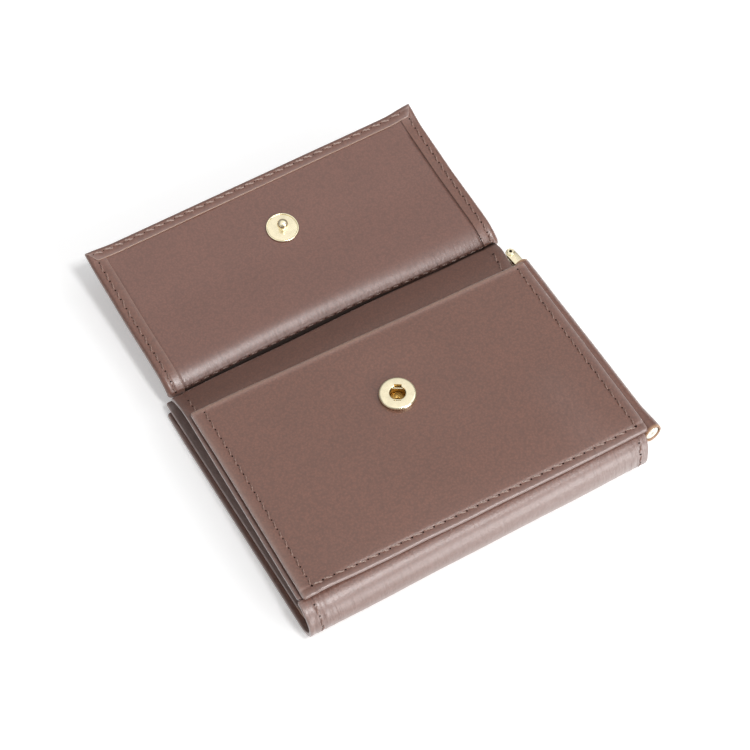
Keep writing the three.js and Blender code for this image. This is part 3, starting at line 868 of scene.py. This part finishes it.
def top_path():
    """Underside of the top hide: flat, drooping over the strip, through the crease and out along the flap."""
    flat = np.linspace(COVER_LOW[1], COVER_HIGH[1], 80)
    front = [(y, COVER_HIGH[2] - LEATHER - strip_drop(y)) for y in flat]
    start, end = np.array(front[-1]), FLAP_START
    pull = np.array([(COVER_HIGH[1] + 0.1 + end[0]) / 2, end[1] - CREASE_SAG])
    bend = [start * (1 - t) ** 2 + 2 * pull * t * (1 - t) + end * t * t for t in np.linspace(0.1, 1, 12)]
    return Path([*front, *bend, flap_point(FLAP_FAR - HEM_TUCK + TUCK_LAP, FLAP_BACK)], 12)


TOP_PATH = top_path()
STRIP_START = TOP_PATH.where(PANEL_HIGH[1])
CREASE_START = TOP_PATH.where(COVER_HIGH[1])
CREASE_END = TOP_PATH.where(FLAP_START[0])
STRIP_SEAMS = {"left": COVER_LOW[0] + COVER_SEAM, "right": COVER_HIGH[0] - COVER_SEAM}


def place_top_hide(flat, along, height):
    low, high = COVER_LOW[0], COVER_HIGH[0]
    edge = FLAP_EDGE - HEM_TUCK + TUCK_LAP
    share = rising(along, CREASE_START, CREASE_END - CREASE_START)
    left = low + (-edge - low) * share
    right = high + (edge - high) * share + STRIP_WIDER * rising(along, STRIP_START, 9) * (1 - share)
    x = left + (flat - low) * (right - left) / (high - low)
    thin = 1 - (1 - FLAP_LEATHER / LEATHER) * share
    strip = rising(along, STRIP_START, 3) * (1 - share)
    depth = STRIP_SEAM_DEPTH * np.clip(height / LEATHER, 0, PAST_FACE)
    sag = 0.2 * ripple(x, along, 30, 3) - depth * sum(trench(x - at) for at in STRIP_SEAMS.values())
    lift = corner_lift(x, FLAP_FAR - HEM_TUCK + along - TOP_PATH.length)
    return yawed(x, *TOP_PATH.at(along, height * thin + strip * sag + lift))


def bend_with_flap(made):
    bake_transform(made)


def crease_painted_shade(x, along):
    """Painted shade: the strip behind the pocket is darker, most at its left, and the crease in front of the flap
    is dark.
    """
    strip = 0.2 * rising(along, STRIP_START - 2, 3) * (0.7 - 0.3 * x / COVER_HIGH[0])
    start = CREASE_START - 0.3 - 1.4 * rising(x, -5, FLAP_EDGE + 5)
    crease = 0.97 * rising(along, start, 0.6)
    return np.maximum(strip, crease) * (1 - rising(along, CREASE_END, 2))


def top_hide():
    xs = lines(COVER_LOW[0], COVER_HIGH[0], 2, LEATHER / 2, STRIP_SEAMS.values())
    fine = [(STRIP_START - 2, CREASE_START, 0.6), (CREASE_START - 0.5, CREASE_END + 1, 0.12)]
    ys = lines(0, TOP_PATH.length, 3, LEATHER, (), fine)
    wear_and_light = {"rubbed": (0.5, 0.5, 0, 0), "painted_shade": crease_painted_shade}
    made = sheet("top_hide", xs, ys, LEATHER, place_top_hide, HIDE_LEATHER, 1, **wear_and_light)
    bend_with_flap(made)
    stand_for(made, "leather", "top_cover", "flap_hinge_leather", "flap_leather")


def strip_stitches():
    along = np.linspace(STRIP_START + 1, STRIP_START + 7, 30)
    for number, (side, x) in enumerate(STRIP_SEAMS.items()):
        line = seam(place_top_hide, x, along, LEATHER)
        bend_with_flap(stitches("strip_stitches_" + side, line, SHADED_SEWING, seed=31 + number))


def top_lining():
    low, high = box("top_lining")
    thick = LINER
    path = Path([(y, high[2] - thick - strip_drop(y)) for y in np.linspace(low[1], high[1], 80)])

    def place(x, along, height):
        return yawed(x, *path.at(along, height))

    xs = lines(low[0], high[0], 4, thick)
    ys = lines(0, path.length, 4, thick, (), [(path.where(29), path.length, 0.8)])
    made = sheet("top_lining_leather", xs, ys, thick, place, LINING_LEATHER, 1, rubbed=(0.3, 0.2, 0, 0.2))
    settle(made, "top_half", "lining", "top_lining")


# The panel's seams, its underside and its hem
PANEL_LEFT = PANEL_LOW[0] + 3.5
PANEL_RIGHT = PANEL_HIGH[0] - 2.5
PANEL_FRONT = PANEL_LOW[1] + 2.2
PANEL_BASE = PANEL_HIGH[2] - LEATHER
PANEL_HEM_DEPTH = PANEL_BASE - PANEL_LOW[2]
PANEL_HEM_INSET = 0.5


def panel_seams(x, y):
    return np.maximum(np.maximum(trench(x - PANEL_LEFT), trench(x - PANEL_RIGHT)), trench(y - PANEL_FRONT))


def panel_shape(x, y):
    """How far the panel stands above its flat: slack in the middle, sewn down in front, curled at left."""
    low, high = PANEL_LOW, PANEL_HIGH
    from_side = np.minimum(x - low[0], high[0] - x)
    from_snap = np.hypot(x - SNAP_X, y - SNAP_Y)
    loose = rising(from_snap, 6, 10) * rising(y, low[1] + 4, 8) * rising(from_side, 4, 8)
    swell = 0.3 * loose * (0.5 + ripple(x, y, 45, 14))
    edge = falling(y, low[1], 4.5)
    curl = bell(x - low[0] - 7, 6)
    mouth = 0.22 * bell(high[1] - y - 0.7, 0.65)
    return swell + mouth + edge * (0.45 * curl - 0.42 * (1 - curl) + 0.05 * ripple(x, y, 17, 15))


def panel_pull(x, y):
    """How far the panel is drawn out of square: its right side forward, its rear edge at the left back."""
    low, high = PANEL_LOW, PANEL_HIGH
    share = (high[1] - y) / (high[1] - low[1])
    rear = rising(y, high[1] - 20, 20) * falling(x, -40, 60)
    right = 1.25 * rising(x, 20, 30) * share - 0.2 * rear * falling(x, low[0], 20)
    return right, 0.4 * rising(x, 30, 20) ** 1.5 * falling(y, low[1], 16) + 0.6 * rear


def place_panel(x, y, height):
    depth = SEAM_DEPTH * np.clip(height / LEATHER, 0, PAST_FACE)
    z = PANEL_BASE + height + panel_shape(x, y) - depth * panel_seams(x, y)
    wave = 0.12 * bell(y - PANEL_LOW[1], 2.2) * ripple(x, 0 * y, 21, 16)
    right, back = panel_pull(x, y)
    return spot(x + right, y + wave + back, z)


def place_hem(x, y, height):
    """The panel's hem fills the space below its edge."""
    z = PANEL_LOW[2] + height / PANEL_HEM_DEPTH * (PANEL_HEM_DEPTH + panel_shape(x, y))
    right, back = panel_pull(x, y)
    return spot(x + right, y + back, z)


def panel_creases(x, y):
    """Fine creasing beside the right seam towards the front, and along the front seam."""
    band = bell(x - PANEL_HIGH[0] + 14, 5) * falling(y, -10, 14)
    return 0.6 * band + 0.25 * bell(y - PANEL_LOW[1] - 3, 3)


def panel_mouth_glint(x, y):
    """The rolled mouth of the pocket and its left edge are tan, partly rubbed wear and partly a painted highlight
    of the rolled edge.
    """
    uneven = 0.75 + 0.25 * ripple(x, y, 22, 17)
    mouth = 0.3 * bell(PANEL_HIGH[1] - y - 0.6, 0.4)
    left = 0.05 * falling(x, PANEL_LOW[0] + 1.6, 1.2)
    return uneven * np.maximum(mouth, left)


def coin_panel():
    low, high = PANEL_LOW, PANEL_HIGH
    xs = lines(low[0], high[0], 2, LEATHER, (PANEL_LEFT, PANEL_RIGHT), [(SNAP_X - 4, SNAP_X + 4, 0.25)])
    fine = [(SNAP_Y - 4, SNAP_Y + 4, 0.25), (high[1] - 3, high[1], 0.25)]
    ys = lines(low[1], high[1], 2, LEATHER, (PANEL_FRONT,), fine)
    made = sheet(
        "coin_panel_leather", xs, ys, LEATHER, place_panel, HIDE_LEATHER, PANEL_CORNER,
        hole=(SNAP_X, SNAP_Y, SNAP_HOLE), rubbed=(0.8, 0.8, 0.8, 1), bent=panel_creases, tanned=panel_mouth_glint,
    )
    settle(made, "top_half", "leather", "coin_pocket_panel")
    depth = PANEL_HEM_DEPTH
    left, front = low[:2] + PANEL_HEM_INSET
    inner_left, inner_front = low[:2] + HEM_WIDTH
    strips = {
        "left": (left, inner_left, front, high[1] - PANEL_HEM_INSET),
        "front": (inner_left, COVER_HIGH[0] - 5.4, front, inner_front),
    }
    for side, (x0, x1, y0, y1) in strips.items():
        xs, ys = lines(x0, x1, 2, depth), lines(y0, y1, 2, depth)
        made = sheet("coin_panel_hem_" + side, xs, ys, depth, place_hem, HIDE_LEATHER, 0.3)
        settle(made, "top_half", "leather")


def panel_stitches():
    along = np.linspace(PANEL_FRONT, PANEL_HIGH[1] - 1.5, 120)
    rows = {
        "left": (PANEL_LEFT, along, SHADED_SEWING),
        "right": (PANEL_RIGHT, along, SHADED_SEWING),
        "front": (np.linspace(PANEL_LEFT, PANEL_RIGHT, 200), PANEL_FRONT, LIT_SEWING),
    }
    for number, (side, (x, y, sewing)) in enumerate(rows.items()):
        line = seam(place_panel, x, y, LEATHER)
        settle(stitches("panel_stitches_" + side, line, sewing, seed=40 + number), "top_half", "leather")


# Flap: inner panel with a padded near edge, and the hem turned over it on three sides

NOSE_POINTS = [
    (1.9, -6.6), (1.95, -6), (2.2, -5.4), (2.7, -4.9), (3.5, -4.42), (4.4, -4), (5.4, -3.62), (6.3, -3.36),
    (7.3, -3.19), (8.3, -3.14), (9.3, -3.17), (11, -3.27), (14, -3.47), (18, -3.75), (22, -4.05),
]
FACE = Path([*NOSE_POINTS, (26, FLAP_FACE), (FLAP_FAR - 1, FLAP_FACE)], 14)


def hem_section(width):
    """Across the hem from its raw edge over the fold to the tuck: inset from the flap's edge, and height."""
    radius = (HEM_TOP - HEM_BOTTOM) / 2
    around = half_turn(radius, (HEM_TOP + HEM_BOTTOM) / 2, radius, 24)
    return Path([(width, HEM_TOP), *around, (HEM_TUCK, HEM_BOTTOM)], step=0.1)


HEM = hem_section(HEM_WIDTH)
FAR_HEM = hem_section(FAR_HEM_WIDTH)


def on_flap(x, along, v, w):
    """A point of the flap. Its padded edge stands further forward towards the ends."""
    ends = 1.5 * rising(x, -5, FLAP_EDGE + 5) + 0.5 * rising(-x, 15, FLAP_EDGE - 15)
    pull = ends * falling(along, 0, 12)
    return yawed(x, *flap_point(v - pull, w + corner_lift(x, v)))


def place_flap_lining(x, along, height):
    inner = rising(np.abs(x), FACE_SIDE - 6, 6)
    sag = 0.12 * ripple(x, along, 40, 21) * rising(along, 2, 6) * (1 - inner)
    groove = 0.15 * bell(HEM_EDGE - np.abs(x), 0.3)
    return on_flap(x, along, *FACE.at(along, height - FACE_THICKNESS + sag - groove))


def flap_lining():
    xs = lines(-FACE_SIDE, FACE_SIDE, 2.5, FACE_THICKNESS, (-HEM_EDGE, HEM_EDGE))
    ys = lines(0, FACE.length, 2.5, FACE_THICKNESS, (), [(0, 14, 0.3)])
    place = place_flap_lining
    wear_and_light = {
        "bent": lambda x, along: 1.6 * falling(along, 4, 4),
        # Painted shade at the foot of the padded edge, down in the crease
        "painted_shade": lambda x, along: 0.9 * falling(along, 0, 2.3),
    }
    made = sheet("flap_lining_leather", xs, ys, FACE_THICKNESS, place, LINING_LEATHER, 0.5, **wear_and_light)
    settle(made, "flap", "lining", "flap_lining")
    across = np.linspace(4 - FLAP_EDGE, FLAP_EDGE - 4, 90)
    line = seam(place, across, 1.4, FACE_THICKNESS)
    row = stitches("crease_stitches", line, LIT_SEWING, 2.9, 33, 0.16, rise=-0.09, slant=0.1, hole=0.22)
    settle(row, "flap", "leather")


def hem_point(section, row, across, height):
    """Inset and height on a hem, with the trench of its seam."""
    outer = np.clip(1 - height / HEM_THICKNESS, 0, HEM_PAST_FACE)
    return section.at(across, height + HEM_SEAM_DEPTH * outer * trench(across - row))


def place_side_hem(side):
    def place(across, along, height):
        inset, rise = hem_point(HEM, HEM_SEAM_AT, across, height)
        mitre = np.minimum(inset, HEM_WIDTH) * rising(along, FACE.length - 14, 12)
        reach = along * (1 - 0.65 * mitre / FACE.length)
        v, w = FACE.at(reach, rise - 0.22 * rising(along, FACE.length - 7, 5))
        v = v + np.maximum(0, reach - FACE.length)
        return on_flap(side * (FLAP_EDGE - inset), along, v, w)

    return place


def place_far_hem(across, along, height):
    inset, rise = hem_point(FAR_HEM, FAR_SEAM_AT, across, height)
    x = along * (FLAP_EDGE - 0.6 * np.minimum(inset, FAR_HEM_WIDTH)) / FLAP_EDGE
    wave = 0.1 * ripple(x, 0 * x, 19, 23) * (rise > 0)
    return on_flap(x, FACE.length, FLAP_FAR - inset, FLAP_FACE + rise + wave)


def flap_hem():
    thick = HEM_THICKNESS
    length = FACE.length + 1
    side = lines(0.6, length, 2, thick, (), [(0.6, 15, 0.4), (length - 12, length, 0.7)])
    far = lines(-FLAP_EDGE, FLAP_EDGE, 2, thick)
    strips = [
        ("left", place_side_hem(-1), HEM, HEM_SEAM_AT, side, 0.4, 0.3, SHADED_SEWING, 0.36),
        ("right", place_side_hem(1), HEM, HEM_SEAM_AT, side, 0, 0, SHADED_SEWING, 0.36),
        ("far", place_far_hem, FAR_HEM, FAR_SEAM_AT, far, 0.6, 0.5, LIT_SEWING, 0.2),
    ]
    for number, (name, place, section, row, along, cut, pale, sewing, hole) in enumerate(strips):
        xs = lines(0, section.length, 0.6, thick, (row,))
        wear_and_light = {"raw_and_glint": (cut, 0, 0.3, 0.3), "rubbed": (pale, 0, 0.6, 0.6)}
        made = sheet("flap_hem_" + name, xs, along, thick, place, HIDE_LEATHER, 0.3, **wear_and_light)
        settle(made, "flap", "leather")
        line = seam(place, row, np.linspace(along[0] + 1, along[-1] - 3, 200), 0, -1)
        made = stitches("hem_stitches_" + name, line, sewing, seed=50 + number, width=0.27, hole=hole)
        settle(made, "flap", "leather")


# Money clip and snap

TUNNEL_OUTER = 2.45
TUNNEL_INNER = 1.95
TUNNEL_NEAR = -66.3
TUNNEL_FAR = -3.3
TUNNEL_Z = 9.85
MOUTH_LENGTH = 9
MOUTH_SLOPE = 0.06
MOUTH_SKEW = 0.1
MOUTH_FLARE = 0.12
MOUTH_OUT = 0.3
LUG_LEAN = (-0.45, 0.9, 0)
NECK_TOP = 1.3
BALL_RISE = 0.4
BALL_WIDER = 0.05


def tunnel_point(x, y, z):
    """From places round the clip rail's axis to the wallet's. The near mouth is slanted and stands wide."""
    mouth = falling(y, TUNNEL_NEAR, MOUTH_LENGTH)
    wide = 1 + MOUTH_FLARE * mouth
    y = y + mouth * (MOUTH_SLOPE * z + MOUTH_SKEW * x)
    x = x * wide + MOUTH_OUT * mouth
    x, y = x * CLIP_COS - y * CLIP_SIN, x * CLIP_SIN + y * CLIP_COS
    return spot(PIVOT[0] + x, PIVOT[1] + y, TUNNEL_Z + z * wide)


def clip_tunnel():
    """Leather wrapped round the rail, raw at both mouths."""
    rim = (TUNNEL_OUTER - TUNNEL_INNER) / 2
    middle = TUNNEL_INNER + rim
    turn = np.radians(np.linspace(0, 180, 9))
    across, out = middle + rim * np.cos(turn), rim * np.sin(turn) - rim
    near = np.stack([across, TUNNEL_NEAR - out], axis=1)[::-1]
    outside = [(TUNNEL_OUTER, y) for y in np.linspace(TUNNEL_NEAR + 1, TUNNEL_FAR - 1, 60)]
    far = np.stack([across, TUNNEL_FAR + out], axis=1)
    inside = [(TUNNEL_INNER, y) for y in np.linspace(TUNNEL_FAR - 1, TUNNEL_NEAR + 1, 12)]
    parts = (near, outside, far, inside)
    raw_and_glint = np.repeat([1, 0, 1, 0.7], [len(part) for part in parts])
    radius, y = np.concatenate(parts).T[:, :, None]
    angle = turns(40)
    radius = radius + 0.07 * ripple(y, 6 * np.cos(angle), 16, 61) * (radius > middle)
    flat = 1 - 0.04 * np.cos(2 * angle)
    rings = tunnel_point(radius * np.cos(angle), y, radius * np.sin(angle) * flat)
    settle(tube("clip_tunnel_leather", rings, HIDE_LEATHER, raw_and_glint), "top_half", "leather", "clip_tunnel")


def tunnel_tail():
    """The tunnel's leather goes on under the pocket panel."""
    thick = 0.6
    left = COVER_HIGH[0] - 5.2
    base = TUNNEL_Z + TUNNEL_OUTER - 0.02 - thick

    def place(x, y, height):
        right = PIVOT[0] - (y - PIVOT[1]) * math.tan(CLIP_SPLAY) + 0.3
        return spot(left + x * (right - left), y, base + height)

    xs = np.concatenate([[0, 0.02], np.linspace(0.1, 0.9, 9), [0.98, 1]])
    ys = lines(PANEL_LOW[1] + 0.3, PANEL_HIGH[1] - 0.3, 4, thick)
    settle(sheet("clip_tunnel_tail", xs, ys, thick, place, HIDE_LEATHER, 0.02), "top_half", "leather")


def rail_end():
    """The polished end of the rail, nearly flush with the tunnel's mouth, in near-white brass that paints its
    highlight.
    """
    profile = [
        (0.02, 0.1), (0.8, 0.11), (1.4, 0.16), (1.66, 0.22), (1.78, 0.33), (1.82, 0.5), (1.82, 4), (0.02, 4),
    ]
    x, z, depth = lathe(profile, 40)
    rings = tunnel_point(x, TUNNEL_NEAR + depth, z)
    settle(tube("clip_rail_end", rings, HIGHLIGHT_METAL), "top_half", "brass")


def lean_lug(points):
    """The lug stands slightly back from the arm's pivot, towards the strip."""
    along = (points[:, 1] - PIVOT[1]) * CLIP_COS - (points[:, 0] - PIVOT[0]) * CLIP_SIN
    washer = box("clip_washer")[1][2]
    weight = rising(along, -4.2, 3) * rising(points[:, 2], washer, 1.2)
    return points + weight[:, None] * LUG_LEAN


def raise_ball(points):
    """The stud's ball stands a little higher on its neck, and is a little wider, than in the CAD."""
    axis = np.array([0, -math.sin(FLAP_TILT), math.cos(FLAP_TILT)])
    height = points @ axis
    share = rising(height, height.min() + NECK_TOP, 0.35)
    out = points - points.mean(axis=0)
    out = out - np.outer(out @ axis, axis)
    return points + share[:, None] * (BALL_RISE * axis + BALL_WIDER * out)


def rivet_hollow():
    """A dark round at the bottom of the rivet's hollow head: painted shade of the hollow."""
    top = box("clip_rivet")[1][2]
    x, y, depth = lathe([(0.02, 0.42), (0.44, 0.4), (0.44, 0.5), (0.02, 0.5)], 20)
    rings = spot(PIVOT[0] + x, PIVOT[1] + y, top - depth)
    rings = lean_lug(rings.reshape(-1, 3)).reshape(rings.shape)
    settle(tube("clip_rivet_hollow", rings, PIT_SHADE), "top_half", "brass")


def eyelet_floor():
    """The closed end of the tube inside the snap's socket, in the darker brass that paints the shade of the
    socket's hole.
    """
    base = box("snap_eyelet")[0][2] + 0.05
    over = [(0.05, 0.1), (0.9, 0.12), (1.5, 0.2), (1.9, 0.15), (2.14, 0.12)]
    under = [(radius, 0) for radius, _ in reversed(over)]
    x, y, height = lathe(over + under, 32)
    rings = spot(SNAP_X + x, SNAP_Y + y, base + height)
    settle(tube("snap_eyelet_floor", rings, SHADED_METAL), "top_half", "brass")


def metal_pieces():
    bends = {"clip_rail": lean_lug, "clip_rivet": lean_lug, "snap_stud": raise_ball}
    for node in (
        "snap_socket", "snap_spring_front", "snap_spring_rear", "snap_stud", "snap_stud_back",
        "clip_rail", "clip_rivet", "clip_washer", "clip_arm",
    ):
        polished(node, METAL, "brass", bends.get(node))
    # The eyelet inside the socket gets the darker brass of painted shade
    polished("snap_eyelet", SHADED_METAL, "brass")
    polished("flap_board", STIFF, "board")


# Stage

def ray(tree, kind):
    return add(tree, "LightPath", f"Is {kind} Ray")


def floor():
    material, tree, paint = new_material("pale_floor")
    seen = maths(tree, "MAXIMUM", ray(tree, "Camera"), ray(tree, "Glossy"))
    feed(tree, paint, {
        "Base Color": mix(tree, seen, dye(FLOOR), dye(FLOOR_SEEN)),
        "Roughness": 0.9,
        "Specular IOR Level": 0,
        "Emission Color": WHITE,
        "Emission Strength": scaled(tree, seen, FLOOR_GLOW, 0),
    })
    mesh = bpy.data.meshes.new("floor")
    corners = [(-1, -1), (1, -1), (1, 1), (-1, 1)]
    mesh.from_pydata([(x * FLOOR_REACH, y * FLOOR_REACH, 0) for x, y in corners], [], [(0, 1, 2, 3)])
    mesh.materials.append(material)
    put("floor", mesh)


def sky():
    """Even light from all round, seen white, and mirrored darker towards the horizon."""
    world = bpy.data.worlds.new("studio")
    world.use_nodes = True
    bpy.context.scene.world = world
    tree = world.node_tree
    towards = add(tree, "SeparateXYZ", "Z", {0: add(tree, "TexCoord", "Generated")})
    mirrored = ranged(tree, towards, 0.45, 0.85, SKY_LOW - SKY_FILL, SKY_HIGH - SKY_FILL)
    strength = scaled(tree, ray(tree, "Glossy"), mirrored, SKY_FILL)
    strength = scaled(tree, ray(tree, "Camera"), 1 - SKY_FILL, strength)
    feed(tree, tree.nodes["Background"], {"Strength": strength, "Color": WHITE})


def outward(azimuth, elevation):
    """The direction from the wallet to a lamp or camera."""
    a, e = math.radians(azimuth), math.radians(elevation)
    return Vector((math.sin(a) * math.cos(e), -math.cos(a) * math.cos(e), math.sin(e)))


def stand(made, place, out):
    """Sets a lamp or camera down, looking back along a direction."""
    made.location = place
    made.rotation_mode = "QUATERNION"
    made.rotation_quaternion = (-out).to_track_quat("-Z", "Y")


def lights():
    for name, (azimuth, elevation, size, power) in LAMPS.items():
        data = bpy.data.lights.new(name, "AREA")
        data.shape = "RECTANGLE"
        data.size, data.size_y = size
        data.energy = power
        made = put(name, data)
        out = outward(azimuth, elevation)
        stand(made, Vector(LAMP_AIM) + out * LAMP_DISTANCE, out)


def camera():
    data = bpy.data.cameras.new("photo_camera")
    data.lens = CAMERA_LENS
    data.sensor_width = CAMERA_SENSOR
    data.clip_start, data.clip_end = CAMERA_CLIP
    made = put("photo_camera", data)
    stand(made, Vector(CAMERA_PLACE) * MM, outward(CAMERA_AZIMUTH, CAMERA_ELEVATION))
    bpy.context.scene.camera = made


bottom_hide()
base_lining()
hide_stitches()
card_pocket("card_pocket_back", 71)
card_pocket("card_pocket_front", 72)
top_hide()
strip_stitches()
top_lining()
coin_panel()
panel_stitches()
flap_lining()
flap_hem()
clip_tunnel()
tunnel_tail()
rail_end()
rivet_hollow()
eyelet_floor()
metal_pieces()
floor()
sky()
lights()
camera()
bpy.context.scene.view_settings.view_transform = "Standard"
